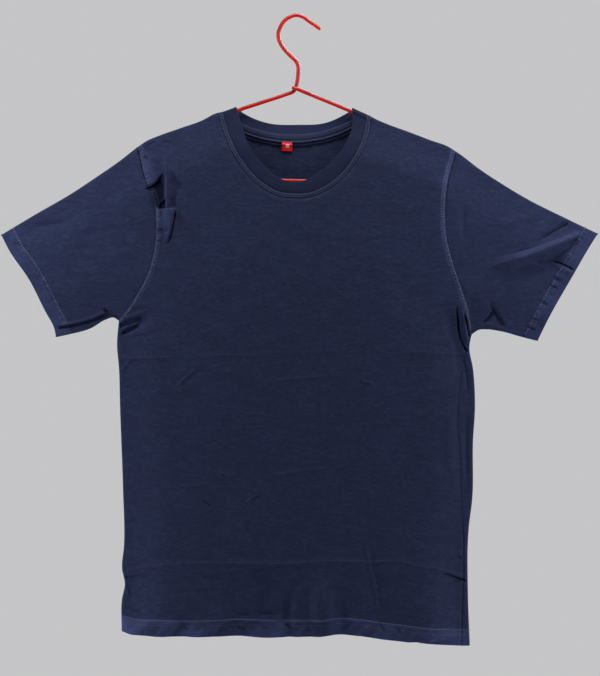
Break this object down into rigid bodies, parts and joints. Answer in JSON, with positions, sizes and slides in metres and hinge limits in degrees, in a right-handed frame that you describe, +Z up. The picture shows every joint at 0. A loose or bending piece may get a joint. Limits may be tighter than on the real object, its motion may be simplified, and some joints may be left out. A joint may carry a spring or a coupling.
{
  "type": "crew neck t-shirt on wire hanger",
  "caption": "Short-sleeved crew neck T-shirt in plain jersey with a rib collar, hung flat on a wire hanger.",
  "frame": {"origin": "under the wire of the hook's crown, at the middle of the wire's thickness, where the hanger hangs", "axes": "+Z up; the shirt's front faces -Y; the wearer's left sleeve is at +X; the hanger's wire lies in the plane Y = 0"},
  "size_m": [0.8092, 0.0334, 0.8584],
  "materials": {
    "navy_jersey": "plain single jersey, matte",
    "navy_rib": "1x1 rib, matte",
    "navy_tape": "neck tape, matte",
    "red_label": "woven label, satin",
    "red_coated_wire": "glossy plastic-coated steel wire"
  },
  "bodies": {
    "root": {"front_panel": "navy_jersey", "back_panel": "navy_jersey", "sleeve_right": "navy_jersey", "sleeve_left": "navy_jersey", "collar_band": "navy_rib", "neck_tape": "navy_tape", "neck_label": "red_label", "hanger_hook": "red_coated_wire", "hanger_frame": "red_coated_wire"}
  },
  "joints": []
}
